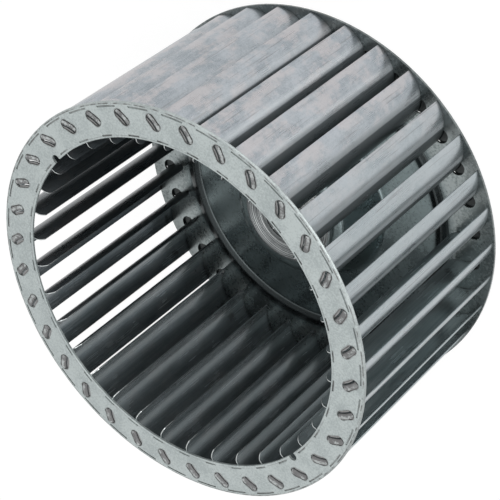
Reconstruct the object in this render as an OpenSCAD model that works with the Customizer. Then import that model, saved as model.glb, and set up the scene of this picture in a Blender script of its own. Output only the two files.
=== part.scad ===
// Forward-curved blower wheel, standing on its back plate with the inlet upwards.
// Z is the axle. The wheel turns anticlockwise when it is seen from the inlet.
// The two notches in the front ring lie on the X axis.

/* [Wheel] */
// Outside diameter of the front ring and of the back plate
wheel_d = 200; // [170:1:260]
// Width from the back face of the back plate to the front face of the ring
wheel_w = 112; // [60:1:160]
// Number of blades
blade_count = 34; // [24:2:38]

/* [Blades] */
// Thickness of the blade sheet
blade_t = 0.5; // [0.4:0.05:0.8]
// Radius that a blade is rolled to, at the middle of its sheet
blade_bend_r = 16.5; // [14:0.1:18]
// Step from the wheel's outside edge in to the blade tips
tip_inset = 0.8; // [0.6:0.1:2]
// Radial depth of the row of blades
blade_depth = 20.4; // [18:0.1:23]
// Angle at the centre of the bend between the wheel's radius and the blade tip
tip_lead = 8.9; // [6:0.1:14]
// Rounding of the inner corners of a blade
blade_corner_r = 4.4; // [2:0.1:6]

/* [Tabs] */
// Inside radius of the fold in a tab
tab_fold_r = 0.6; // [0.3:0.05:0.7]
// Rounding of the free corners of a tab
tab_corner_r = 1.4; // [0.8:0.1:1.6]
// Step from the wheel's outside edge in to the middle of a front tab
front_tab_inset = 7.4; // [6:0.1:9]
// Width of a front tab along the blade
front_tab_w = 7.6; // [6:0.1:8]
// How far a front tab laps over the ring past its slot
front_tab_lap = 1.2; // [0.5:0.1:1.2]
// Step from the wheel's outside edge in to the middle of a back tab
back_tab_inset = 10.8; // [9.5:0.1:11.5]
// Width of a back tab along the blade
back_tab_w = 6.6; // [5.5:0.1:8]
// How far a back tab laps over the back plate past its slot
back_tab_lap = 0.8; // [0.5:0.1:1.2]

/* [Front ring] */
// Thickness of the front ring
ring_t = 1.2; // [0.8:0.1:2]
// Radial width of the front ring
ring_band = 16.7; // [15:0.1:18]
// Bevel along the inner edge of the ring's front face
ring_bevel = 0.25; // [0.1:0.05:0.4]
// Rounding of the outer edge of the ring's front face
rim_r = 1; // [0.3:0.1:1]
// Open gap that a front slot leaves behind the fold of its tab
front_slot_gap = 0.7; // [0.3:0.1:1]
// Width of a front slot under the folded tab
front_slot_under = 0.9; // [0.8:0.1:1.2]
// How far a front slot runs past each side of its tab
front_slot_spare = 0.3; // [0.2:0.1:0.5]
// Length of the oval seat that is pressed into the ring round each front tab
tab_seat_l = 8.8; // [8.4:0.1:10]
// Width of the seat
tab_seat_w = 4.8; // [4.4:0.1:5.4]
// Depth of the seat
tab_seat_depth = 0.35; // [0.15:0.05:0.4]
// Step from the blade's sheet out to the middle of the seat
tab_seat_step = 0.4; // [0.2:0.1:0.6]
// Width of the two notches in the ring's inner edge
notch_w = 4; // [3:0.1:5]
// Depth of the notches
notch_depth = 3.3; // [2.6:0.1:4]
// Angle from a tab on to the notch beside it
notch_lead = 2.2; // [1.5:0.1:4]

/* [Press marks] */
// Width of the marks that the closing tool leaves in the ring's front face
mark_w = 0.8; // [0.4:0.1:1]
// Depth of the marks
mark_depth = 0.3; // [0.1:0.05:0.4]
// Step from the ring's outside edge in to the outer marks
outer_mark_inset = 2; // [1.5:0.1:2.5]
// Length of an outer mark
outer_mark_l = 10.8; // [4:0.1:12]
// Angle from a tab on to the middle of its outer mark
outer_mark_lead = 4.3; // [4:0.1:5]
// Step from the ring's inner edge out to the inner marks
inner_mark_inset = 1.3; // [0.8:0.1:2.2]
// Length of an inner mark
inner_mark_l = 6; // [3:0.1:6]
// Angle from a tab back to the middle of its inner mark
inner_mark_lag = 3; // [2.5:0.1:3.5]

/* [Back plate] */
// Thickness of the back plate
plate_t = 1.2; // [0.8:0.1:2]
// How far a half-round back slot is wider than its tab on each side
back_slot_spare = 0.4; // [0.2:0.1:0.8]
// Diameter of the middle of the stiffening bead
bead_d = 145.4; // [130:0.1:150]
// Width of the bead
bead_w = 7; // [5:0.1:9]
// Height of the bead
bead_h = 1.4; // [0.8:0.1:2.5]
// Bend radius of the bead
bead_bend_r = 1.6; // [1.5:0.1:4]
// Diameter of the drawn boss at its foot
boss_foot_d = 81; // [72:0.5:95]
// Diameter of the boss at its top
boss_top_d = 60; // [56:0.5:68]
// Height of the boss over the plate
boss_h = 19.6; // [12:0.1:30]
// Bend radius at the foot and the top of the boss
boss_bend_r = 3.6; // [2:0.1:5]

/* [Hub] */
// Diameter of the bore
bore_d = 14; // [8:0.5:16]
// Diameter of the turned flange
flange_d = 48.4; // [42:0.1:52]
// Thickness of the flange
flange_t = 2.6; // [2:0.1:5]
// Diameter of the spigot that is held in the boss
spigot_d = 34; // [30:0.5:38]
// How far the staked rim reaches past the spigot
stake_reach = 1.4; // [0.8:0.1:2]
// Height of the staked rim
stake_h = 1.1; // [0.6:0.1:2]
// Diameter of the barrel behind the boss
barrel_d = 27; // [25:0.5:30]
// Distance from the back of the plate up to the end of the barrel
barrel_lift = 2; // [1:0.1:4]
// Diameter of the raised ring on the front of the hub
face_ring_d = 30.4; // [28:0.1:34]
// Height of the raised ring
face_ring_h = 0.6; // [0.3:0.1:1]
// Diameter of the groove in the raised ring
face_groove_d = 24.4; // [22:0.1:26]
// Width and depth of that groove
face_groove = 0.5; // [0.3:0.1:0.8]
// Number of turned lines round the flange's face
face_lines = 7; // [3:1:7]
// Width of a turned line
face_line_w = 0.6; // [0.3:0.1:0.8]
// Depth of a turned line
face_line_depth = 0.2; // [0.1:0.05:0.3]
// Bevel at the ends of the bore and round the flange
hub_bevel = 0.7; // [0.3:0.1:1]

/* [Set screw] */
// Thread diameter of the set screw
screw_d = 6; // [4:0.5:8]
// Length of the set screw
screw_l = 6; // [5:0.5:8]
// Distance from the bore back to the tip of the screw
screw_back = 0.5; // [0.2:0.1:1]
// Width across the flats of its hexagon socket
screw_key = 3; // [2:0.5:3.5]
// Depth of the socket
screw_key_depth = 2.4; // [1:0.1:3]
// Height of the screw over the end of the barrel
screw_lift = 7; // [6:0.1:9]

/* [Hidden] */
// Gap between a turned piece and the hole that it is held in
seat_gap = 0.03;
// Gap between a back tab and the straight edge of its slot
slot_clear = 0.15;
// Room that a cutting shape has past the face that it cuts
over = 1;
// Angle between the points of a small bend in a section
arc_step = 15;
// A rounding circle is set a little nearer to its corner, so that it crosses both edges
round_in = 0.94;
// The round ends of a punched slot are a little wider than its middle
slot_end_share = 1.06;
// The round ends of a pressed seat are a little wider than its middle
seat_end_share = 1.03;
$fn = 96;

wheel_r = wheel_d / 2;
tip_r = wheel_r - tip_inset;
blade_in_r = tip_r - blade_depth;
ring_in_r = wheel_r - ring_band;
pitch = 360 / blade_count;

// Distance from the axle to the centre of a blade's bend
bend_centre = sqrt(pow(tip_r, 2) - pow(blade_bend_r * sin(tip_lead), 2)) - blade_bend_r * cos(tip_lead);
blade_inside = blade_bend_r - blade_t / 2;
blade_outside = blade_bend_r + blade_t / 2;
back_slot_r = back_tab_w / 2 + back_slot_spare;
front_tab_end = blade_outside + front_slot_under + front_tab_lap;
back_tab_end = blade_outside + back_slot_r + back_tab_lap;

// Heights, from the back tabs that the wheel stands on up to the front ring
plate_back_z = blade_t;
plate_front_z = plate_back_z + plate_t;
ring_front_z = plate_back_z + wheel_w;
ring_back_z = ring_front_z - ring_t;
tab_seat_z = ring_front_z - tab_seat_depth;
web_front_z = plate_front_z + boss_h;
web_back_z = web_front_z - plate_t;
hub_face_z = web_front_z + flange_t;
barrel_end_z = plate_back_z + barrel_lift;
screw_z = barrel_end_z + screw_lift;

// Angle at the centre of the bend at which a blade crosses a radius of the wheel
function bend_angle(r) =
    -acos((pow(r, 2) - pow(bend_centre, 2) - pow(blade_bend_r, 2)) / (2 * bend_centre * blade_bend_r));
// Angle at the centre of the bend for a length along the blade
function bend_arc(l) = l / blade_bend_r * 180 / PI;
front_tab_a = bend_angle(wheel_r - front_tab_inset);
back_tab_a = bend_angle(wheel_r - back_tab_inset);
blade_in_a = bend_angle(blade_in_r);
// Angle at the axle from a front tab on to the centre of its blade's bend
tab_to_bend = -atan2(blade_bend_r * sin(front_tab_a), bend_centre + blade_bend_r * cos(front_tab_a));

function tab_turn(i) = (i - 1) * pitch - notch_lead;
function blade_name(i) = str("blade_", i < 10 ? "0" : "", i);

// Points on an arc
function arc(c, r, a0, a1) =
    let (n = max(1, ceil(abs(a1 - a0) / arc_step)))
    [for (i = [0:n]) c + r * [cos(a0 + (a1 - a0) * i / n), sin(a0 + (a1 - a0) * i / n)]];

// A sheet seen in section: its middle follows a path of [radius, height, bend radius]
function unit(v) = v / norm(v);
function left(a, b) = let (d = unit(b - a)) [-d[1], d[0]];
function spot(p) = [p[0], p[1]];
// The way out from a corner that lies the same distance from both of its sides
function out_of(a, b, c) = (left(a, b) + left(b, c)) / (1 + left(a, b) * left(b, c));
function turn_at(a, b, c) = left(a, b)[0] * left(b, c)[1] - left(a, b)[1] * left(b, c)[0] > 0 ? 1 : -1;
function bend(a, b, c, r, side) =
    let (turn = turn_at(a, b, c),
         centre = b + turn * r * out_of(a, b, c),
         n0 = left(a, b),
         a0 = atan2(-turn * n0[1], -turn * n0[0]))
    arc(centre, r - turn * side, a0, a0 + turn * acos(n0 * left(b, c)));
function sheet_face(path, side) =
    let (last = len(path) - 1, p = [for (q = path) spot(q)])
    concat(
        [p[0] + side * left(p[0], p[1])],
        [for (i = [1:last - 1]) each bend(p[i - 1], p[i], p[i + 1], path[i][2], side)],
        [p[last] + side * left(p[last - 1], p[last])]);
module bent_sheet(path, t) {
    back = sheet_face(path, -t / 2);
    polygon(concat(sheet_face(path, t / 2), [for (i = [len(back) - 1:-1:0]) back[i]]));
}

// Part of a flat ring between two angles
module sector(a0, a1, r0, r1, h) {
    rotate(a0)
        rotate_extrude(angle = a1 - a0)
        translate([r0, 0])
        square([r1 - r0, h]);
}

// Places children at the centre of the bend of blade i
module at_bend(i) {
    rotate(tab_turn(i) + tab_to_bend)
        translate([bend_centre, 0, 0])
        children();
}

// What rounds off a square corner that lies at the origin
module corner(r) {
    difference() {
        translate([-r, -r])
            square(r + over);
        translate(-[r, r] * round_in)
            circle(r);
    }
}

// The blade's section: a strip that is folded over the ring and over the plate
module blade_section() {
    front_fold = [blade_outside + tab_fold_r, tab_seat_z - tab_fold_r];
    back_fold = [blade_outside + tab_fold_r, plate_back_z + tab_fold_r];
    polygon(concat(
        arc(front_fold, tab_fold_r + blade_t, 180, 90),
        [[front_tab_end, tab_seat_z + blade_t], [front_tab_end, tab_seat_z]],
        arc(front_fold, tab_fold_r, 90, 180),
        arc(back_fold, tab_fold_r, 180, 270),
        [[back_tab_end, plate_back_z], [back_tab_end, plate_back_z - blade_t]],
        arc(back_fold, tab_fold_r + blade_t, 270, 180)));
}

// Cut away from the end of the strip, to leave a tab of width w about angle a
module beside_tab(a, w, tab_end, h) {
    half = bend_arc(w) / 2;
    reach = tab_end + over;
    past = bend_arc(over);
    sector(blade_in_a - past, a - half, blade_inside - over, reach, h);
    sector(a + half, past - tip_lead, blade_inside - over, reach, h);
    for (side = [0, 1])
        rotate(a + (2 * side - 1) * half)
            mirror([0, 1 - side, 0])
            translate([tab_end, 0, 0])
            linear_extrude(h)
            corner(tab_corner_r);
}

// Rounds the blade's inner corner that lies at the origin, pointing up
module inner_corner() {
    translate([blade_inside - 2 * over, 0, 0])
        rotate([90, 0, 90])
        linear_extrude(blade_t + 3 * over)
        mirror([1, 0])
        corner(blade_corner_r);
}

module blade(i) {
    color("#a9b0b6")
        at_bend(i)
        difference() {
            rotate(blade_in_a)
                rotate_extrude(angle = -tip_lead - blade_in_a)
                blade_section();
            translate([0, 0, ring_back_z])
                beside_tab(front_tab_a, front_tab_w, front_tab_end, ring_t + blade_t + over);
            translate([0, 0, -over])
                beside_tab(back_tab_a, back_tab_w, back_tab_end, plate_front_z + over);
            rotate(blade_in_a) {
                translate([0, 0, ring_back_z])
                    inner_corner();
                translate([0, 0, plate_front_z])
                    mirror([0, 0, 1])
                    inner_corner();
            }
        }
}

// Slot for a front tab: it follows the blade and has round ends
module front_slot(h) {
    inside = blade_inside - front_slot_gap;
    outside = blade_outside + front_slot_under;
    half = bend_arc(front_tab_w / 2 + front_slot_spare) - bend_arc(outside - inside) / 2;
    sector(front_tab_a - half, front_tab_a + half, inside, outside, h);
    for (side = [-1, 1])
        rotate(front_tab_a + side * half)
            translate([(inside + outside) / 2, 0, 0])
            cylinder(h = h, d = (outside - inside) * slot_end_share);
}

// Oval seat for a front tab, along the blade's sheet
module tab_seat() {
    end = (tab_seat_l - tab_seat_w) / 2;
    rotate(front_tab_a)
        translate([blade_bend_r + tab_seat_step, 0, 0]) {
            translate([-tab_seat_w / 2, -end, 0])
                cube([tab_seat_w, 2 * end, tab_seat_depth + over]);
            for (side = [-1, 1])
                translate([0, side * end, 0])
                    cylinder(h = tab_seat_depth + over, d = tab_seat_w * seat_end_share);
        }
}

// Slot for a back tab: half round, with its straight edge behind the tab
module back_slot(h) {
    difference() {
        rotate(back_tab_a)
            translate([blade_outside, 0, 0])
            cylinder(h = h, r = back_slot_r);
        translate([0, 0, -over])
            cylinder(h = h + 2 * over, r = blade_inside - slot_clear);
    }
}

// Mark of the closing tool, length l along radius r about angle a
module press_mark(a, r, l) {
    half = l / r * 90 / PI;
    sector(a - half, a + half, r - mark_w / 2, r + mark_w / 2, mark_depth + over);
}

module notch() {
    translate([ring_in_r - over, -notch_w / 2, 0])
        cube([over + notch_depth - notch_w / 2, notch_w, ring_t + 2 * over]);
    translate([ring_in_r + notch_depth - notch_w / 2, 0, 0])
        cylinder(h = ring_t + 2 * over, d = notch_w);
}

module front_ring() {
    color("#b4bab9")
        difference() {
            rotate_extrude()
                polygon(concat(
                    [[ring_in_r, ring_back_z], [wheel_r, ring_back_z]],
                    arc([wheel_r - rim_r, ring_front_z - rim_r], rim_r, 0, 90),
                    [[ring_in_r + ring_bevel, ring_front_z], [ring_in_r, ring_front_z - ring_bevel]]));
            translate([0, 0, ring_back_z - over]) {
                for (i = [1:blade_count])
                    at_bend(i)
                        front_slot(ring_t + 2 * over);
                for (side = [0, 180])
                    rotate(side)
                        notch();
            }
            translate([0, 0, tab_seat_z])
                for (i = [1:blade_count])
                    at_bend(i)
                        tab_seat();
            translate([0, 0, ring_front_z - mark_depth])
                for (i = [1:blade_count]) {
                    press_mark(tab_turn(i) + outer_mark_lead, wheel_r - outer_mark_inset, outer_mark_l);
                    press_mark(tab_turn(i) - inner_mark_lag, ring_in_r + inner_mark_inset, inner_mark_l);
                }
        }
}

module back_plate() {
    web_z = web_front_z - plate_t / 2;
    plate_z = plate_front_z - plate_t / 2;
    color("#a3aaaa")
        difference() {
            rotate_extrude()
                bent_sheet([
                    [spigot_d / 2 + seat_gap, web_z, 0],
                    [boss_top_d / 2, web_z, boss_bend_r],
                    [boss_foot_d / 2, plate_z, boss_bend_r],
                    [(bead_d - bead_w) / 2, plate_z, bead_bend_r],
                    [bead_d / 2, plate_z + bead_h, bead_bend_r],
                    [(bead_d + bead_w) / 2, plate_z, bead_bend_r],
                    [wheel_r, plate_z, 0]], plate_t);
            translate([0, 0, plate_back_z - over])
                for (i = [1:blade_count])
                    at_bend(i)
                        back_slot(plate_t + 2 * over);
        }
}

// Points of a turned line at radius r of the flange's face
function face_line(r) =
    [[r + face_line_w / 2, hub_face_z], [r, hub_face_z - face_line_depth], [r - face_line_w / 2, hub_face_z]];

// Turned hub: its flange lies on the boss, and its rim is staked over behind it
module hub() {
    bore_r = bore_d / 2;
    barrel_r = barrel_d / 2;
    spigot_r = spigot_d / 2;
    stake_r = spigot_r + stake_reach;
    flange_r = flange_d / 2;
    top_z = hub_face_z + face_ring_h;
    groove_r = face_groove_d / 2;
    line_step = (flange_r - hub_bevel - face_ring_d / 2) / (face_lines + 1);
    color("#9a9d9f")
        difference() {
            rotate_extrude()
                polygon(concat([
                    [bore_r, barrel_end_z + hub_bevel], [bore_r + hub_bevel, barrel_end_z],
                    [barrel_r - hub_bevel, barrel_end_z], [barrel_r, barrel_end_z + hub_bevel],
                    [barrel_r, web_back_z - stake_h], [stake_r - stake_h / 2, web_back_z - stake_h],
                    [stake_r, web_back_z - stake_h / 2], [stake_r, web_back_z],
                    [spigot_r, web_back_z], [spigot_r, web_front_z],
                    [flange_r, web_front_z], [flange_r, hub_face_z - hub_bevel],
                    [flange_r - hub_bevel, hub_face_z]],
                    [for (i = [face_lines:-1:1]) each face_line(face_ring_d / 2 + i * line_step)], [
                    [face_ring_d / 2, hub_face_z],
                    [face_ring_d / 2, top_z], [groove_r + face_groove / 2, top_z],
                    [groove_r + face_groove / 2, top_z - face_groove],
                    [groove_r - face_groove / 2, top_z - face_groove],
                    [groove_r - face_groove / 2, top_z],
                    [bore_r + hub_bevel, top_z], [bore_r, top_z - hub_bevel]]));
            translate([0, 0, screw_z])
                rotate([0, 90, 0])
                cylinder(h = barrel_r + over, d = screw_d + 2 * seat_gap);
        }
}

module set_screw() {
    cup = screw_d / 6;
    color("#4a4d50")
        translate([bore_d / 2 + screw_back, 0, screw_z])
        rotate([0, 90, 0])
        difference() {
            cylinder(h = screw_l, d = screw_d);
            translate([0, 0, -over])
                cylinder(h = cup + over, r1 = cup + over, r2 = 0, $fn = 24);
            translate([0, 0, screw_l - screw_key_depth])
                cylinder(h = screw_key_depth + over, d = screw_key / cos(30), $fn = 6);
        }
}

front_ring();
back_plate();
hub();
set_screw();
for (i = [1:blade_count])
    blade(i);
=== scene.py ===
"""Dresses the forward-curved blower wheel: metal finishes, floor, soft light and camera.

The wheel stands on its back plate with the inlet upwards. Its axle is the Z axis. All lengths are
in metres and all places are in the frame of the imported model. Every shape is in that model, so
each sub-assembly here only gives its pieces their finish.
"""

import logging
import math
from dataclasses import dataclass, field
from enum import Enum
from typing import Any

import bpy
from mathutils import Matrix, Vector

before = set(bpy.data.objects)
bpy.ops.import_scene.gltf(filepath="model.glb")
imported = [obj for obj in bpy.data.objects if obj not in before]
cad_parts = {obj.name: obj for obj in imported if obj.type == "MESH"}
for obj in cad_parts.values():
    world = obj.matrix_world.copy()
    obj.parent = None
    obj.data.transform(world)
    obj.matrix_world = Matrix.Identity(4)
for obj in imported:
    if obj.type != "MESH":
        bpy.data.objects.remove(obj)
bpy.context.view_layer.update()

LOG = logging.getLogger("blower_wheel")
MM = 0.001
LINE_FULL_SHARE = 0.4  # the part of a soft line's half-width over which it has its full strength
Colour = tuple[float, float, float]
Span = tuple[float, float]


class Operation(Enum):
    """What a Math node works out."""

    ADD = "ADD"
    SUBTRACT = "SUBTRACT"
    MULTIPLY = "MULTIPLY"
    ABSOLUTE = "ABSOLUTE"
    SQUARE_ROOT = "SQRT"
    COSINE = "COSINE"
    SINE = "SINE"
    ARCTAN2 = "ARCTAN2"
    FLOOR = "FLOOR"
    MODULO = "FLOORED_MODULO"
    MAXIMUM = "MAXIMUM"
    MINIMUM = "MINIMUM"


class Value:
    """A number that varies over a surface: an output socket with arithmetic."""

    def __init__(self, nodes: "Nodes", socket: bpy.types.NodeSocket) -> None:
        """Wraps an output socket of a node tree."""
        self.nodes = nodes
        self.socket = socket

    def maths(self, operation: Operation, *others: Any) -> "Value":
        """Adds a Math node.

        Args:
            operation: what the node works out.
            others: numbers or values for its further inputs.

        Returns:
            The node's result.
        """
        inputs = dict(enumerate((self, *others)))
        node = self.nodes.node("ShaderNodeMath", {"operation": operation.value}, inputs)
        return Value(self.nodes, node.outputs[0])

    def __add__(self, other: Any) -> "Value":
        """Sum."""
        return self.maths(Operation.ADD, other)

    __radd__ = __add__

    def __sub__(self, other: Any) -> "Value":
        """Difference."""
        return self.maths(Operation.SUBTRACT, other)

    def __rsub__(self, other: float) -> "Value":
        """Difference from a plain number."""
        return self.maths(Operation.MULTIPLY, -1.0) + other

    def __mul__(self, other: Any) -> "Value":
        """Product."""
        return self.maths(Operation.MULTIPLY, other)

    __rmul__ = __mul__

    def root(self) -> "Value":
        """Square root."""
        return self.maths(Operation.SQUARE_ROOT)

    def step(self, low: float, high: float) -> "Value":
        """A smooth rise from 0 at low to 1 at high, or a fall where low is the larger.

        Args:
            low: the value that gives 0.
            high: the value that gives 1.

        Returns:
            The eased value.
        """
        if low > high:
            return 1.0 - self.step(high, low)
        node = self.nodes.node("ShaderNodeMapRange", {"interpolation_type": "SMOOTHSTEP"},
                               {"Value": self, "From Min": low, "From Max": high})
        return Value(self.nodes, node.outputs["Result"])

    def near(self, place: float, width: float) -> "Value":
        """A soft line: 1 at a place, falling to 0 at a width from it."""
        return (self - place).maths(Operation.ABSOLUTE).step(width, LINE_FULL_SHARE * width)

    def scaled(self, low: float, high: float) -> "Value":
        """Goes from low to high where the value goes from 0 to 1."""
        return self * (high - low) + low

    def swing(self, reach: float) -> "Value":
        """The distance of noise from its middle of a half, times a reach."""
        return (self - 0.5) * reach

    def towards(self, side: float, span: Span) -> "Value":
        """For an angle round the axle, a mask of the side at an azimuth in degrees."""
        return (self - math.radians(side)).maths(Operation.COSINE).step(*span)


class Nodes:
    """A node tree under construction."""

    def __init__(self, tree: bpy.types.NodeTree) -> None:
        """Takes the tree of a material or a world."""
        self.tree = tree

    def feed(self, target: bpy.types.NodeSocket, value: Any) -> None:
        """Links or sets an input.

        Args:
            target: the input socket.
            value: a value or an output socket to link, or a number or a colour to set.
        """
        source = value.socket if isinstance(value, Value) else value
        if isinstance(source, bpy.types.NodeSocket):
            self.tree.links.new(source, target)
        elif isinstance(source, tuple):
            target.default_value = (*source, 1.0)
        else:
            target.default_value = source

    def node(self, kind: str, settings: dict[str, Any] | None = None,
             inputs: dict[Any, Any] | None = None) -> bpy.types.Node:
        """Adds a node.

        Args:
            kind: the node's type.
            settings: its own settings, which are set before its inputs.
            inputs: what feeds its inputs, by their name or number.

        Returns:
            The node.
        """
        node = self.tree.nodes.new(kind)
        for key, value in (settings or {}).items():
            setattr(node, key, value)
        for key, value in (inputs or {}).items():
            self.feed(node.inputs[key], value)
        return node


class Paint(Nodes):
    """A material under construction, around one Principled shader."""

    def __init__(self, name: str) -> None:
        """Starts an empty material.

        Args:
            name: the material's name.
        """
        self.material = bpy.data.materials.new(name)
        self.material.use_nodes = True
        super().__init__(self.material.node_tree)
        self.tree.nodes.clear()
        self.shader = self.node("ShaderNodeBsdfPrincipled")
        self.node("ShaderNodeOutputMaterial", {}, {"Surface": self.shader.outputs["BSDF"]})
        self.place = self.node("ShaderNodeTexCoord").outputs["Object"]

    def point(self, x: Any, y: Any, z: Any = 0.0) -> bpy.types.NodeSocket:
        """Coordinates made of three numbers or values."""
        return self.node("ShaderNodeCombineXYZ", {}, {0: x, 1: y, 2: z}).outputs[0]

    def noise(self, place: bpy.types.NodeSocket, scale: float, detail: float,
              roughness: float) -> Value:
        """Cloudy noise from 0 to 1.

        Args:
            place: coordinates.
            scale: how many clouds there are in a unit of them.
            detail: octaves.
            roughness: the share of the finer octaves.

        Returns:
            The noise.
        """
        node = self.node("ShaderNodeTexNoise", {}, {
            "Vector": place, "Scale": scale, "Detail": detail, "Roughness": roughness})
        return Value(self, node.outputs["Fac"])

    def axle_polar(self) -> tuple[Value, Value, Value]:
        """Place about the axle.

        Returns:
            The radius in metres, the angle round the axle in radians and the height in metres.
        """
        split = self.node("ShaderNodeSeparateXYZ", {}, {0: self.place})
        x, y, z = (Value(self, split.outputs[i]) for i in range(3))
        return (x * x + y * y).root(), y.maths(Operation.ARCTAN2, x), z

    def mix(self, share: Value, first: Any, second: Any) -> bpy.types.NodeSocket:
        """Blends two colours.

        Args:
            share: 0 gives the first, 1 the second.
            first: a colour or a socket.
            second: a colour or a socket.

        Returns:
            The blended colour.
        """
        node = self.node("ShaderNodeMix", {"data_type": "RGBA"},
                         {"Factor": share, 6: first, 7: second})
        return node.outputs[2]

    def finish(self, bump: Value, bump_height: float, **inputs: Any) -> bpy.types.Material:
        """Feeds the shader and ends the material.

        Args:
            bump: the surface's height from 0 to 1.
            bump_height: what 1 stands for, in metres.
            inputs: what feeds the shader's inputs, with _ for the spaces in their names.

        Returns:
            The material.
        """
        for key, value in inputs.items():
            self.feed(self.shader.inputs[key.replace("_", " ")], value)
        node = self.node("ShaderNodeBump", {}, {
            "Height": bump, "Distance": bump_height, "Strength": 1.0})
        self.feed(self.shader.inputs["Normal"], node.outputs["Normal"])
        return self.material


@dataclass(frozen=True)
class Clouds:
    """Noise that is alike in all directions. The scale is the number of clouds in a metre."""

    scale: float
    detail: float = 2.0
    roughness: float = 0.6

    def on(self, paint: Paint) -> Value:
        """The noise over the whole piece."""
        return paint.noise(paint.place, self.scale, self.detail, self.roughness)


@dataclass(frozen=True)
class Streaks:
    """Noise that is drawn out along a blade and differs from blade to blade.

    The first two fields are the numbers of clouds in a metre round the blade's bend and along the
    axle. The third moves the noise on from one blade to the next.
    """

    round_bend: float
    along_axle: float
    blade_shift: float
    start: float = 0.0
    detail: float = 3.0
    roughness: float = 0.6

    def on(self, paint: Paint, arc: Value, height: Value, number: Value) -> Value:
        """The noise on the blades.

        Args:
            paint: the material.
            arc: the place round the bend, in metres.
            height: the place along the axle, in metres.
            number: the blade's number.

        Returns:
            The noise.
        """
        place = paint.point(arc * self.round_bend, height * self.along_axle,
                            number * self.blade_shift + self.start)
        return paint.noise(place, 1.0, self.detail, self.roughness)


def weigh(values: tuple[Value, ...], shares: tuple[float, ...]) -> Value:
    """Adds up values.

    Args:
        values: the values.
        shares: the factor of each.

    Returns:
        The weighted sum.
    """
    total = values[0] * shares[0]
    for value, share in zip(values[1:], shares[1:]):
        total = total + value * share
    return total


@dataclass(frozen=True)
class BladeRow:
    """Where the blades' bends lie round the axle. Angles are in degrees."""

    count: int = 34
    bend_radius: float = 16.5 * MM
    bend_centre: float = 82.866 * MM
    first_bend: float = 6.523
    blade_middle: float = -6.4
    tab_middle: float = -8.91
    tab_angle: float = -58.33

    def from_bend(self, radius: Value, theta: Value, middle: float) -> tuple[Value, Value, Value]:
        """Place from the centre of the nearest blade's bend.

        Args:
            radius: the distance from the axle.
            theta: the angle round the axle, in radians.
            middle: the angle round the axle from a bend's centre to the middle of what repeats,
                in degrees.

        Returns:
            The place outwards, the place in the turning direction and the blade's number.
        """
        pitch = 2.0 * math.pi / self.count
        turned = theta - math.radians(self.first_bend + middle)
        number = (turned * (1.0 / pitch) + 0.5).maths(Operation.FLOOR)
        turned = turned - number * pitch + math.radians(middle)
        outwards = radius * turned.maths(Operation.COSINE) - self.bend_centre
        forwards = radius * turned.maths(Operation.SINE)
        return outwards, forwards, number.maths(Operation.MODULO, float(self.count))

    def round_bend(self, radius: Value, theta: Value) -> tuple[Value, Value, Value]:
        """Place about the bend of the blade that a point belongs to.

        Args:
            radius: the distance from the axle.
            theta: the angle round the axle, in radians.

        Returns:
            The distance from the bend's axis, the angle round it in degrees and the blade's
            number.
        """
        x, y, number = self.from_bend(radius, theta, self.blade_middle)
        phi = y.maths(Operation.ARCTAN2, x) * (180.0 / math.pi)
        return (x * x + y * y).root(), phi, number


ROW = BladeRow()


@dataclass(frozen=True)
class BladeSpot:
    """Where a point of a blade lies, and the masks and noises that its finish shares."""

    arc: Value
    height: Value
    number: Value
    phi: Value
    lap: Value
    outside: Value
    hollow: Value
    facing: Value
    cooler: Value
    highlit_shoulder: Value
    tab: Value
    mottle: Value
    grain: Value
    streak: Value
    patch: Value


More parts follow.
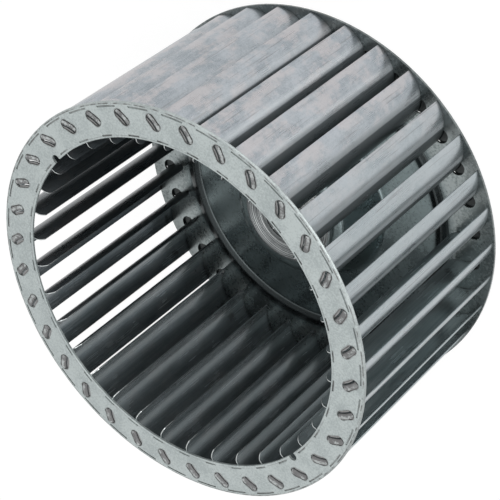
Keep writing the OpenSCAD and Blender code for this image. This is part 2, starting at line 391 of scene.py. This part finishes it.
@dataclass(frozen=True)
class BladeSheet:
    """Zinc-coated blade sheet: streaks along the axle, warm patches, painted highlight and shade.

    A side is an azimuth round the axle, and its span is of cosines of the angle from it. Other
    spans of angles go round the blade's bend. Angles are in degrees. A span says where a mask
    starts and where it is full, and a range says what its 0 and its 1 stand for.
    """

    name: str = "galvanised_blade"
    pale: Colour = (0.445, 0.476, 0.508)
    dark: Colour = (0.298, 0.332, 0.358)
    warm: Colour = (0.555, 0.517, 0.517)
    cool: Colour = (0.420, 0.482, 0.488)
    # Painted shade between the blades and at their ends darkens towards this colour.
    painted_shade_colour: Colour = (0.030, 0.042, 0.045)
    # Dark spots on the hollow side near the back plate.
    low_spot_colour: Colour = (0.035, 0.030, 0.028)
    scratch: Colour = (0.20, 0.20, 0.205)
    # Painted highlight along the cut edges.
    cut_edge_highlight: Colour = (0.60, 0.63, 0.63)
    # The painted highlight along each tab's rolled ridge.
    tab_ridge_highlight: Colour = (0.50, 0.53, 0.525)
    tab_dark: Colour = (0.18, 0.18, 0.182)
    slot_shade: Colour = (0.03, 0.035, 0.035)
    # Painted highlight on the shoulder of the bend, on the lit side.
    shoulder_highlight: Colour = (0.66, 0.70, 0.72)
    hollow_tint: Colour = (0.36, 0.44, 0.45)

    mottle: Clouds = Clouds(1500.0)
    grain: Clouds = Clouds(300.0, 4.0, 0.7)
    streaks: Streaks = Streaks(800.0, 24.0, 3.7)
    patches: Streaks = Streaks(95.0, 55.0, 5.3, detail=2.0, roughness=0.5)
    tone_shares: tuple[float, ...] = (0.28, 0.16, 0.34, 0.22)
    tone_span: Span = (0.38, 0.61)

    # The side where the shoulder gets its painted highlight and the hollow side painted light.
    lit_side: float = 243.0
    lit_span: Span = (0.05, 0.75)
    cooler_side: float = 217.0
    cooler_span: Span = (0.40, 0.85)
    cooler_share: float = 0.45
    warm_patches: Streaks = Streaks(120.0, 60.0, 7.9, start=40.0)
    warm_span: Span = (0.47, 0.68)
    warm_share: float = 0.58
    warm_grain: float = 0.34
    warm_loss: float = 0.85
    tip_warmth: float = 0.10
    tip_span: Span = (-34.0, -14.0)

    scratches: Streaks = Streaks(1700.0, 26.0, 2.3, detail=2.0)
    scratch_span: Span = (0.61, 0.70)
    scratch_share: float = 0.60
    specks: Clouds = Clouds(620.0, 3.0, 0.7)
    speck_span: Span = (0.64, 0.76)
    speck_share: float = 0.5

    side_blur: float = 0.1 * MM
    # Painted highlight on the outside of the bend's shoulder, strongest on the lit side.
    shoulder_span: Span = (-38.0, -48.0)
    shoulder_share: float = 0.5
    shoulder_range: Span = (0.45, 1.0)
    # Painted shade: where each neighbour shades a blade, on the hollow side and at both ends.
    deep_tone: float = 0.25
    deep_span: Span = (-52.6, -55.8)
    inner_span: Span = (-78.0, -104.0)
    inner_relief: float = 0.2
    hollow_tint_share: float = 0.55
    hollow_span: Span = (-66.0, -44.0)
    hollow_range: Span = (0.30, 0.58)
    hollow_facing: float = 0.55
    hollow_clouds: tuple[float, ...] = (0.8, 0.6)
    hollow_least: float = 0.3
    back_end: Span = (4.2 * MM, 1.9 * MM)
    back_end_shade: float = 0.40
    front_end: Span = (109.9 * MM, 111.2 * MM)
    front_end_shade: float = 0.45

    # Dark spots on the hollow side, fading out above the back plate.
    low_spots: Clouds = Clouds(150.0, 4.0, 0.65)
    low_spot_span: Span = (0.56, 0.66)
    low_spot_height: Span = (26.0 * MM, 6.0 * MM)
    low_spot_share: float = 0.75
    # Painted highlight along the cut edges, growing towards the ring.
    cut_span: Span = (0.23 * MM, 0.20 * MM)
    cut_height: Span = (101.0 * MM, 105.0 * MM)
    cut_range: Span = (0.12, 0.92)
    slot_top: Span = (2.0 * MM, 1.6 * MM)
    slot_foot: Span = (0.0, 0.55 * MM)

    # The folded tabs: dark, with a painted highlight along the rolled ridge.
    tab_span: Span = (111.75 * MM, 111.85 * MM)
    tab_dents: Clouds = Clouds(900.0)
    tab_dent_reach: float = 2.6 * MM
    tab_ridge: float = 1.55 * MM
    tab_ridge_width: float = 1.0 * MM
    tab_grain_span: Span = (0.40, 0.60)

    metallic: float = 0.86
    hollow_metallic: float = 0.60
    shoulder_metallic: float = 0.50
    roughness: float = 0.24
    patch_roughness: float = 0.22
    streak_roughness: float = 0.16
    tab_roughness: float = 0.15
    outside_roughness: float = 0.06
    bump_height: float = 0.012 * MM

    def spot(self, paint: Paint) -> BladeSpot:
        """Works out the masks and noises that the finish shares.

        Args:
            paint: the material.

        Returns:
            The point's place, masks and noises.
        """
        radius, theta, height = paint.axle_polar()
        rho, phi, number = ROW.round_bend(radius, theta)
        arc = phi * (ROW.bend_radius * math.pi / 180.0)
        outside = rho.step(ROW.bend_radius - self.side_blur, ROW.bend_radius + self.side_blur)
        facing = theta.towards(self.lit_side, self.lit_span)
        # The shoulder that gets the painted highlight.
        highlit_shoulder = outside * phi.step(*self.shoulder_span) * facing.scaled(*self.shoulder_range)
        return BladeSpot(
            arc=arc, height=height, number=number, phi=phi,
            lap=rho - ROW.bend_radius,
            outside=outside,
            hollow=1.0 - outside,
            facing=facing,
            cooler=theta.towards(self.cooler_side, self.cooler_span),
            highlit_shoulder=highlit_shoulder,
            tab=height.step(*self.tab_span),
            mottle=self.mottle.on(paint),
            grain=self.grain.on(paint),
            streak=self.streaks.on(paint, arc, height, number),
            patch=self.patches.on(paint, arc, height, number))

    def zinc(self, paint: Paint, spot: BladeSpot) -> bpy.types.NodeSocket:
        """The sheet's own colour, patches and scratches, and a painted highlight on the shoulder.

        Args:
            paint: the material.
            spot: the point.

        Returns:
            The colour.
        """
        place = (spot.arc, spot.height, spot.number)
        tone = weigh((spot.mottle, spot.streak, spot.patch, spot.grain), self.tone_shares)
        colour = paint.mix(tone.step(*self.tone_span), self.dark, self.pale)
        warmth = (self.warm_patches.on(paint, *place)
                  + spot.phi.step(*self.tip_span) * self.tip_warmth
                  + spot.grain.swing(self.warm_grain))
        warmth = warmth.step(*self.warm_span) * (1.0 - spot.cooler * self.warm_loss)
        colour = paint.mix(warmth * self.warm_share, colour, self.warm)
        colour = paint.mix(spot.cooler * self.cooler_share, colour, self.cool)
        scratches = self.scratches.on(paint, *place).step(*self.scratch_span) * self.scratch_share
        specks = self.specks.on(paint).step(*self.speck_span) * self.speck_share
        colour = paint.mix(scratches.maths(Operation.MAXIMUM, specks), colour, self.scratch)
        # Painted highlight on the shoulder.
        shoulder = spot.highlit_shoulder * spot.facing * self.shoulder_share
        colour = paint.mix(shoulder, colour, self.shoulder_highlight)
        return paint.mix(spot.hollow * self.hollow_tint_share, colour, self.hollow_tint)

    def lit_share(self, spot: BladeSpot) -> Value:
        """How much zinc shows through the painted shade between the blades and at their ends.

        Args:
            spot: the point.

        Returns:
            The share, from 0 to 1.
        """
        relief = spot.phi.step(*self.inner_span) * self.inner_relief
        depth = spot.phi.step(*self.deep_span) - relief
        outer = 1.0 - depth * (1.0 - self.deep_tone)
        clouds = weigh((spot.streak, spot.patch), self.hollow_clouds) + self.hollow_least
        inner = spot.phi.step(*self.hollow_span).scaled(*self.hollow_range)
        inner = ((inner + spot.facing * self.hollow_facing) * clouds).maths(Operation.MINIMUM, 1.0)
        ends = (spot.height.step(*self.back_end) * self.back_end_shade
                + spot.height.step(*self.front_end) * self.front_end_shade)
        return (spot.outside * outer + spot.hollow * inner) * (1.0 - ends)

    def marks(self, paint: Paint, spot: BladeSpot, colour: Any) -> bpy.types.NodeSocket:
        """Adds dark spots, painted edge highlights, the dented tabs and painted slot shade.

        Args:
            paint: the material.
            spot: the point.
            colour: the colour below them.

        Returns:
            The colour.
        """
        # Dark spots on the hollow side, fading out above the back plate.
        spotted = self.low_spots.on(paint).step(*self.low_spot_span)
        spotted = spotted * spot.height.step(*self.low_spot_height) * spot.hollow
        colour = paint.mix(spotted * self.low_spot_share, colour, self.low_spot_colour)
        # Painted highlight along the cut edges.
        cut = spot.lap.maths(Operation.ABSOLUTE).step(*self.cut_span)
        bright = spot.height.step(*self.cut_height).scaled(*self.cut_range)
        colour = paint.mix(cut * bright, colour, self.cut_edge_highlight)
        # Painted highlight along each tab's rolled ridge.
        dented = spot.lap + self.tab_dents.on(paint).swing(self.tab_dent_reach)
        ridge = dented.near(self.tab_ridge, self.tab_ridge_width)
        lit = ridge * spot.grain.step(*self.tab_grain_span)
        colour = paint.mix(spot.tab, colour, paint.mix(lit, self.tab_dark, self.tab_ridge_highlight))
        in_slot = spot.height.step(*self.slot_top) * spot.height.step(*self.slot_foot)
        return paint.mix(in_slot, colour, self.slot_shade)

    def make(self) -> bpy.types.Material:
        """Builds the material.

        Returns:
            The material.
        """
        paint = Paint(self.name)
        spot = self.spot(paint)
        # Painted shade between the blades and at their ends.
        colour = paint.mix(self.lit_share(spot), self.painted_shade_colour, self.zinc(paint, spot))
        metallic = (spot.hollow * (self.hollow_metallic - self.metallic)
                    + spot.highlit_shoulder * (self.shoulder_metallic - self.metallic) + self.metallic)
        roughness = (spot.patch.swing(self.patch_roughness)
                     + spot.streak.swing(self.streak_roughness)
                     + spot.tab * self.tab_roughness
                     + spot.outside * self.outside_roughness + self.roughness)
        return paint.finish(spot.mottle, self.bump_height,
                            Base_Color=self.marks(paint, spot, colour),
                            Metallic=metallic, Roughness=roughness)


@dataclass(frozen=True)
class RingSheet:
    """Pale zinc-coated ring: fine mottling, dark press marks and seats, painted shade at its rims.

    An inset is a distance from the rim into the sheet, and a depth is below the face. The lit rim
    side is an azimuth in degrees, where the painted shade on the outer edge is lighter, and its
    span is of cosines of the angle from it. A range says what a mask's 0 and 1 stand for.
    """

    name: str = "galvanised_ring"
    pale: Colour = (0.51, 0.56, 0.555)
    dark: Colour = (0.38, 0.425, 0.425)
    # Real specks, press marks and seat outlines take this colour, and the painted shade on the
    # rims.
    stain_and_shade: Colour = (0.105, 0.100, 0.098)
    seat_floor: Colour = (0.30, 0.30, 0.30)
    face: float = 112.5 * MM
    outer_radius: float = 100.0 * MM
    inner_radius: float = 83.3 * MM

    mottle: Clouds = Clouds(1100.0, 3.0, 0.65)
    clouds: Clouds = Clouds(70.0, 3.0, 0.55)
    tone_shares: tuple[float, ...] = (0.6, 0.4)
    tone_span: Span = (0.38, 0.60)
    specks: Clouds = Clouds(420.0)
    speck_span: Span = (0.70, 0.78)
    speck_share: float = 0.35
    patchiness: Clouds = Clouds(260.0)
    patchiness_span: Span = (0.35, 0.6)

    # Painted shade: thin lines along both rims, just below the face.
    rim_line_inset: float = 0.8 * MM
    rim_line_width: float = 0.4 * MM
    rim_line_share: float = 0.8
    inner_line_inset: float = 1.0 * MM
    inner_line_width: float = 0.3 * MM
    inner_line_share: float = 0.35
    line_depths: Span = (0.9 * MM, 0.7 * MM)
    # Painted shade on the outer edge, lighter towards the lit side of the rim.
    edge_insets: Span = (0.6 * MM, 0.2 * MM)
    edge_share: float = 0.5
    lit_rim_side: float = 285.0
    lit_rim_span: Span = (-0.1, 0.6)
    lit_rim_relief: float = 0.33

    sunk_depths: Span = (0.04 * MM, 0.14 * MM)
    floor_depths: Span = (0.6 * MM, 0.4 * MM)
    seat_length: float = 8.8 * MM
    seat_width: float = 4.8 * MM
    seat_step: float = 0.4 * MM
    seat_wobble: Clouds = Clouds(900.0)
    seat_wobble_reach: float = 0.9 * MM
    seat_span: Span = (0.35 * MM, 0.0)
    outline_place: float = -0.10 * MM
    outline_width: float = 0.60 * MM
    outline_range: Span = (0.35, 0.80)
    smear_place: float = 0.1 * MM
    smear_width: float = 0.5 * MM
    smear_share: float = 0.4

    band_inner_insets: Span = (0.3 * MM, 0.6 * MM)
    band_outer_insets: Span = (0.6 * MM, 1.2 * MM)
    mark_outer_inset: float = 1.9 * MM
    mark_inner_inset: float = 1.2 * MM
    mark_width: float = 0.42 * MM
    mark_patchy_range: Span = (0.5, 0.9)
    mark_middle_range: Span = (0.3, 0.9)

    metallic: float = 0.7
    roughness: float = 0.46
    cloud_roughness: float = 0.2
    mottle_roughness: float = 0.15
    bump_height: float = 0.03 * MM

    def past_seat(self, radius: Value, theta: Value) -> Value:
        """How far a point lies outside the oval seat of the nearest tab.

        Args:
            radius: the distance from the axle.
            theta: the angle round the axle.

        Returns:
            The distance from the seat's rim, negative inside it.
        """
        x, y, _ = ROW.from_bend(radius, theta, ROW.tab_middle)
        angle = math.radians(ROW.tab_angle)
        x = x - (ROW.bend_radius + self.seat_step) * math.cos(angle)
        y = y - (ROW.bend_radius + self.seat_step) * math.sin(angle)
        along = x * -math.sin(angle) + y * math.cos(angle)
        across = x * math.cos(angle) + y * math.sin(angle)
        straight = 0.5 * (self.seat_length - self.seat_width)
        past_end = (along.maths(Operation.ABSOLUTE) - straight).maths(Operation.MAXIMUM, 0.0)
        return (past_end * past_end + across * across).root() - 0.5 * self.seat_width

    def below(self, height: Value, depths: Span) -> Value:
        """A mask that goes from 0 at the first depth below the face to 1 at the second."""
        return height.step(self.face - depths[0], self.face - depths[1])

    def rim_lines(self, radius: Value) -> Value:
        """The thin lines of painted shade along both rims.

        Args:
            radius: the distance from the axle.

        Returns:
            The lines' strength.
        """
        outer = radius.near(self.outer_radius - self.rim_line_inset, self.rim_line_width)
        inner = radius.near(self.inner_radius + self.inner_line_inset, self.inner_line_width)
        return outer * self.rim_line_share + inner * self.inner_line_share

    def mark_lines(self, radius: Value) -> Value:
        """The press marks along both rims, darkest along their middle.

        Args:
            radius: the distance from the axle.

        Returns:
            The marks' strength, where the face is sunk.
        """
        inner_start, inner_full = self.band_inner_insets
        outer_start, outer_full = self.band_outer_insets
        band = (radius.step(self.inner_radius + inner_start, self.inner_radius + inner_full)
                * radius.step(self.outer_radius - outer_start, self.outer_radius - outer_full))
        middle = (radius.near(self.outer_radius - self.mark_outer_inset, self.mark_width)
                  + radius.near(self.inner_radius + self.mark_inner_inset, self.mark_width))
        return band * middle.scaled(*self.mark_middle_range)

    def make(self) -> bpy.types.Material:
        """Builds the material.

        Returns:
            The material.
        """
        paint = Paint(self.name)
        radius, theta, height = paint.axle_polar()
        mottle = self.mottle.on(paint)
        cloud = self.clouds.on(paint)
        patchy = self.patchiness.on(paint).step(*self.patchiness_span)
        tone = weigh((mottle, cloud), self.tone_shares).step(*self.tone_span)
        colour = paint.mix(tone, self.dark, self.pale)
        specks = self.specks.on(paint).step(*self.speck_span) * self.speck_share
        colour = paint.mix(specks, colour, self.stain_and_shade)

        # Painted shade in thin lines along both rims.
        lines = self.rim_lines(radius) * patchy * self.below(height, self.line_depths)
        colour = paint.mix(lines, colour, self.stain_and_shade)
        # Painted shade on the outer edge, lighter towards the lit side.
        start, full = self.edge_insets
        edge = radius.step(self.outer_radius - start, self.outer_radius - full)
        lit_rim = theta.towards(self.lit_rim_side, self.lit_rim_span)
        rim_shade = edge * (self.edge_share - lit_rim * self.lit_rim_relief)
        colour = paint.mix(rim_shade, colour, self.stain_and_shade)

        sunk = self.below(height, self.sunk_depths) * self.below(height, self.floor_depths)
        wobble = self.seat_wobble.on(paint).swing(self.seat_wobble_reach)
        out = self.past_seat(radius, theta) + wobble
        in_seat = out.step(*self.seat_span)
        outline = out.near(self.outline_place, self.outline_width)
        outline = outline * patchy.scaled(*self.outline_range)
        floor = paint.mix(outline, self.seat_floor, self.stain_and_shade)
        colour = paint.mix(sunk * in_seat, colour, floor)
        marks = self.mark_lines(radius) * patchy.scaled(*self.mark_patchy_range)
        colour = paint.mix(sunk * (1.0 - in_seat) * marks, colour, self.stain_and_shade)
        smear = out.near(self.smear_place, self.smear_width) * self.smear_share * patchy
        colour = paint.mix(smear * (1.0 - sunk), colour, self.stain_and_shade)

        roughness = (cloud.swing(self.cloud_roughness)
                     + mottle.swing(self.mottle_roughness) + self.roughness)
        return paint.finish(mottle, self.bump_height, Base_Color=colour,
                            Metallic=self.metallic, Roughness=roughness)


@dataclass(frozen=True)
class PlateSheet:
    """Glossier zinc-coated plate: smooth and dark inside, paler between the blades.

    Each painted highlight line along a crease of the bead has its radius and its share.
    """

    name: str = "galvanised_plate"
    pale: Colour = (0.35, 0.39, 0.39)
    dark: Colour = (0.19, 0.22, 0.22)
    inside: Colour = (0.200, 0.247, 0.252)
    inside_dark: Colour = (0.142, 0.177, 0.182)
    # Painted shade on the plate between the blades takes this colour.
    stain_and_shade: Colour = (0.05, 0.05, 0.05)
    bead_shade: Colour = (0.026, 0.030, 0.031)
    # Painted highlight along the bead's creases.
    crease_highlight: Colour = (0.42, 0.46, 0.46)

    mottle: Clouds = Clouds(700.0, 3.0, 0.65)
    clouds: Clouds = Clouds(60.0, 3.0, 0.55)
    tone_shares: tuple[float, ...] = (0.5, 0.5)
    tone_span: Span = (0.41, 0.58)
    inside_span: Span = (75.0 * MM, 81.0 * MM)
    # Painted shade on the plate among the blades' outer parts.
    rim_span: Span = (90.0 * MM, 97.0 * MM)
    rim_share: float = 0.40
    bead_radius: float = 72.7 * MM
    bead_reach: float = 5.6 * MM
    bead_share: float = 0.93
    crease_highlights: tuple[tuple[float, float], ...] = ((69.48 * MM, 0.15), (75.5 * MM, 0.10))
    crease_width: float = 0.36 * MM

    metallic: float = 0.92
    roughness: float = 0.28
    cloud_roughness: float = 0.2
    mottle_roughness: float = 0.1
    bump_height: float = 0.02 * MM

    def make(self) -> bpy.types.Material:
        """Builds the material.

        Returns:
            The material.
        """
        paint = Paint(self.name)
        radius, _, _ = paint.axle_polar()
        mottle = self.mottle.on(paint)
        cloud = self.clouds.on(paint)
        tone = weigh((mottle, cloud), self.tone_shares).step(*self.tone_span)
        outer = paint.mix(tone, self.dark, self.pale)
        inner = paint.mix(tone, self.inside_dark, self.inside)
        colour = paint.mix(radius.step(*self.inside_span), inner, outer)
        # Painted shade on the plate between the blades.
        colour = paint.mix(radius.step(*self.rim_span) * self.rim_share, colour, self.stain_and_shade)
        bead = radius.near(self.bead_radius, self.bead_reach)
        colour = paint.mix(bead * self.bead_share, colour, self.bead_shade)
        # Painted highlight lines along the bead's creases.
        for place, share in self.crease_highlights:
            line = radius.near(place, self.crease_width)
            colour = paint.mix(line * share, colour, self.crease_highlight)
        roughness = (cloud.swing(self.cloud_roughness)
                     + mottle.swing(self.mottle_roughness) + self.roughness)
        return paint.finish(mottle, self.bump_height, Base_Color=colour,
                            Metallic=self.metallic, Roughness=roughness)


@dataclass(frozen=True)
class TurnedMetal:
    """Lathe-turned metal with fine concentric lines round the axle and painted highlights on two
    rims.
    """

    name: str = "turned_hub"
    pale: Colour = (0.43, 0.45, 0.45)
    dark: Colour = (0.17, 0.18, 0.185)
    # Painted highlight on the hub's rims.
    bright: Colour = (0.72, 0.74, 0.74)
    groove_pitch: float = 0.6 * MM
    bands_in_metre: float = 850.0
    band_detail: float = 3.0
    band_roughness: float = 0.7
    clouds: Clouds = Clouds(260.0, 3.0)
    tone_shares: tuple[float, ...] = (0.15, 0.70, 0.15)
    tone_span: Span = (0.42, 0.58)
    highlight_rims: tuple[float, ...] = (23.9 * MM, 15.1 * MM)
    rim_width: float = 0.45 * MM
    rim_share: float = 0.9
    metallic: float = 0.95
    roughness: float = 0.3
    uneven_roughness: float = 0.3
    bump_shares: tuple[float, ...] = (0.4, 0.6)
    bump_height: float = 0.04 * MM

    def make(self) -> bpy.types.Material:
        """Builds the material.

        Returns:
            The material.
        """
        paint = Paint(self.name)
        radius, _, _ = paint.axle_polar()
        wave = (radius * (2.0 * math.pi / self.groove_pitch)).maths(Operation.SINE)
        groove = (wave + 1.0) * 0.5
        band_place = paint.point(radius * self.bands_in_metre, 0.0)
        band = paint.noise(band_place, 1.0, self.band_detail, self.band_roughness)
        tone = weigh((groove, band, self.clouds.on(paint)), self.tone_shares)
        colour = paint.mix(tone.step(*self.tone_span), self.dark, self.pale)
        # Painted highlight along each rim.
        for rim in self.highlight_rims:
            line = radius.near(rim, self.rim_width) * self.rim_share
            colour = paint.mix(line, colour, self.bright)
        roughness = band.swing(self.uneven_roughness) + self.roughness
        return paint.finish(weigh((groove, band), self.bump_shares), self.bump_height,
                            Base_Color=colour, Metallic=self.metallic, Roughness=roughness)


@dataclass(frozen=True)
class BlackSteel:
    """Blackened steel of the set screw, paler and rougher where it is worn."""

    name: str = "black_steel"
    colour: Colour = (0.05, 0.05, 0.055)
    worn: Colour = (0.16, 0.15, 0.15)
    wear: Clouds = Clouds(1200.0, 3.0)
    wear_span: Span = (0.5, 0.75)
    wear_roughness: float = 0.2
    metallic: float = 0.8
    roughness: float = 0.35
    bump_height: float = 0.03 * MM

    def make(self) -> bpy.types.Material:
        """Builds the material.

        Returns:
            The material.
        """
        paint = Paint(self.name)
        wear = self.wear.on(paint).step(*self.wear_span)
        return paint.finish(wear, self.bump_height,
                            Base_Color=paint.mix(wear, self.colour, self.worn),
                            Metallic=self.metallic,
                            Roughness=wear * self.wear_roughness + self.roughness)


def dress(piece: bpy.types.Object, material: bpy.types.Material) -> None:
    """Gives a piece one material all over."""
    piece.data.materials.clear()
    piece.data.materials.append(material)


@dataclass
class Blades:
    """The row of curved blades with their folded tabs."""

    count: int = ROW.count
    finish: BladeSheet = BladeSheet()

    def build(self) -> list[bpy.types.Object]:
        """Gives every blade its finish.

        Returns:
            The blades.
        """
        material = self.finish.make()
        blades = [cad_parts[f"blade_{i:02d}"] for i in range(1, self.count + 1)]
        for blade in blades:
            dress(blade, material)
        return blades


@dataclass
class FrontRing:
    """The flat ring at the inlet."""

    finish: RingSheet = RingSheet()

    def build(self) -> list[bpy.types.Object]:
        """Gives the ring its finish.

        Returns:
            The ring.
        """
        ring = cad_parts["front_ring"]
        dress(ring, self.finish.make())
        return [ring]


@dataclass
class BackPlate:
    """The drawn plate at the back."""

    finish: PlateSheet = PlateSheet()

    def build(self) -> list[bpy.types.Object]:
        """Gives the plate its finish.

        Returns:
            The plate.
        """
        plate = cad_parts["back_plate"]
        dress(plate, self.finish.make())
        return [plate]


@dataclass
class Hub:
    """The turned hub and its set screw."""

    hub_finish: TurnedMetal = TurnedMetal()
    screw_finish: BlackSteel = BlackSteel()

    def build(self) -> list[bpy.types.Object]:
        """Gives the hub and the set screw their finish.

        Returns:
            The hub and the screw.
        """
        hub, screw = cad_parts["hub"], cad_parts["set_screw"]
        dress(hub, self.hub_finish.make())
        dress(screw, self.screw_finish.make())
        return [hub, screw]


@dataclass
class Lamp:
    """A round, soft lamp that points at the wheel."""

    name: str
    direction: Vector
    distance: float
    size: float
    power: float

    def build(self, target: Vector) -> bpy.types.Object:
        """Adds the lamp.

        Args:
            target: the point that it lights.

        Returns:
            The lamp.
        """
        light = bpy.data.lights.new(self.name, "AREA")
        light.shape = "DISK"
        light.size = self.size
        light.energy = self.power
        lamp = bpy.data.objects.new(self.name, light)
        lamp.location = target + self.direction.normalized() * self.distance
        lamp.rotation_euler = (target - lamp.location).to_track_quat("-Z", "Y").to_euler()
        bpy.context.scene.collection.objects.link(lamp)
        return lamp


@dataclass
class PhotoCamera:
    """The camera at the photograph's viewing angle, as fitted to the rims of both sheets.

    The shift moves it from its place, to the right and up. The last fields are the focal length
    and the width of the picture in pixels, the sensor in millimetres and the farthest view.
    """

    place: Vector = field(default_factory=lambda: Vector((0.001885, -0.590428, 0.586563)))
    right: Vector = field(default_factory=lambda: Vector((-0.622380, -0.525363, -0.580206)))
    up: Vector = field(default_factory=lambda: Vector((0.782704, -0.413813, -0.464900)))
    shift: tuple[float, float] = (-0.29 * MM, 0.39 * MM)
    view: Vector = field(default_factory=lambda: Vector((-0.004144, 0.743474, -0.668752)))
    roll: float = math.radians(-128.7)
    focal_px: float = 1700.74
    frame_px: float = 500.0
    sensor: float = 36.0
    far_end: float = 50.0

    def build(self) -> bpy.types.Object:
        """Adds the camera.

        Returns:
            The camera.
        """
        data = bpy.data.cameras.new("camera")
        data.sensor_width = self.sensor
        data.lens = self.focal_px / self.frame_px * self.sensor
        data.clip_end = self.far_end
        camera = bpy.data.objects.new("camera", data)
        aim = self.view.to_track_quat("-Z", "Y").to_matrix()
        turn = aim @ Matrix.Rotation(self.roll, 3, "Z")
        place = self.place + self.right * self.shift[0] + self.up * self.shift[1]
        camera.matrix_world = Matrix.Translation(place) @ turn.to_4x4()
        bpy.context.scene.collection.objects.link(camera)
        bpy.context.scene.camera = camera
        return camera


@dataclass
class Studio:
    """Plain pale floor, even world and soft lamps."""

    ring_front: float = 112.5 * MM
    floor_size: float = 12.0
    floor_grey: float = 0.8
    floor_glow: float = 0.80
    glow_strength: float = 1.14
    world_level: float = 0.5

    def seen_white(self, nodes: Nodes) -> Value:
        """A factor that is 1 for what the camera, a reflection or a glass sees.

        Args:
            nodes: the node tree that gets it.

        Returns:
            The factor.
        """
        path = nodes.node("ShaderNodeLightPath")
        seen = Value(nodes, path.outputs["Is Camera Ray"])
        for name in ("Is Glossy Ray", "Is Transmission Ray"):
            seen = seen.maths(Operation.MAXIMUM, path.outputs[name])
        return seen

    def floor(self) -> bpy.types.Object:
        """Adds the plain pale floor, which keeps the shadow and shows white.

        Returns:
            The floor.
        """
        bpy.ops.object.select_all(action="DESELECT")
        bpy.ops.mesh.primitive_plane_add(size=self.floor_size, location=(0.0, 0.0, 0.0))
        floor = bpy.context.active_object
        floor.name = "floor"
        material = bpy.data.materials.new("floor_paper")
        material.use_nodes = True
        nodes = Nodes(material.node_tree)
        nodes.tree.nodes.clear()
        paper = nodes.node("ShaderNodeBsdfDiffuse", {}, {"Color": (self.floor_grey,) * 3})
        glow = nodes.node("ShaderNodeEmission", {}, {"Strength": self.glow_strength})
        blend = nodes.node("ShaderNodeMixShader", {}, {
            "Fac": self.seen_white(nodes) * self.floor_glow,
            1: paper.outputs[0], 2: glow.outputs[0]})
        nodes.node("ShaderNodeOutputMaterial", {}, {"Surface": blend.outputs[0]})
        dress(floor, material)
        return floor

    def world(self) -> None:
        """Sets an even world that the camera and reflections see as white."""
        world = bpy.data.worlds.new("studio")
        bpy.context.scene.world = world
        world.use_nodes = True
        nodes = Nodes(world.node_tree)
        level = nodes.node("ShaderNodeMapRange", {}, {
            "Value": self.seen_white(nodes), "To Min": self.world_level, "To Max": 1.0})
        background = nodes.tree.nodes["Background"]
        nodes.feed(background.inputs["Color"], (1.0, 1.0, 1.0))
        nodes.feed(background.inputs["Strength"], level.outputs["Result"])

    def build(self) -> list[bpy.types.Object]:
        """Adds everything round the wheel.

        Returns:
            The stage objects.
        """
        self.world()
        target = Vector((0.0, 0.0, 0.5 * self.ring_front))
        lamps = [
            Lamp("key_lamp", Vector((0.55, -0.83, 0.20)), distance=1.6, size=0.9, power=5.0),
            Lamp("top_lamp", Vector((-0.2, 0.0, 1.0)), distance=1.8, size=1.2, power=4.5),
            Lamp("fill_lamp", Vector((-0.30, -0.95, 0.06)), distance=1.8, size=1.0, power=20.0),
        ]
        return [PhotoCamera().build(), self.floor()] + [lamp.build(target) for lamp in lamps]


def main() -> None:
    """Builds the studio and dresses each sub-assembly in turn."""
    logging.basicConfig(level=logging.INFO, format="%(name)s: %(message)s")
    scene = bpy.context.scene
    scene.view_settings.view_transform = "Standard"
    Studio().build()
    for assembly in (BackPlate(), Blades(), FrontRing(), Hub()):
        for piece in assembly.build():
            faces = len(piece.data.polygons)
            LOG.info("%s: %s, %d faces", type(assembly).__name__, piece.name, faces)


if __name__ == "__main__":
    main()
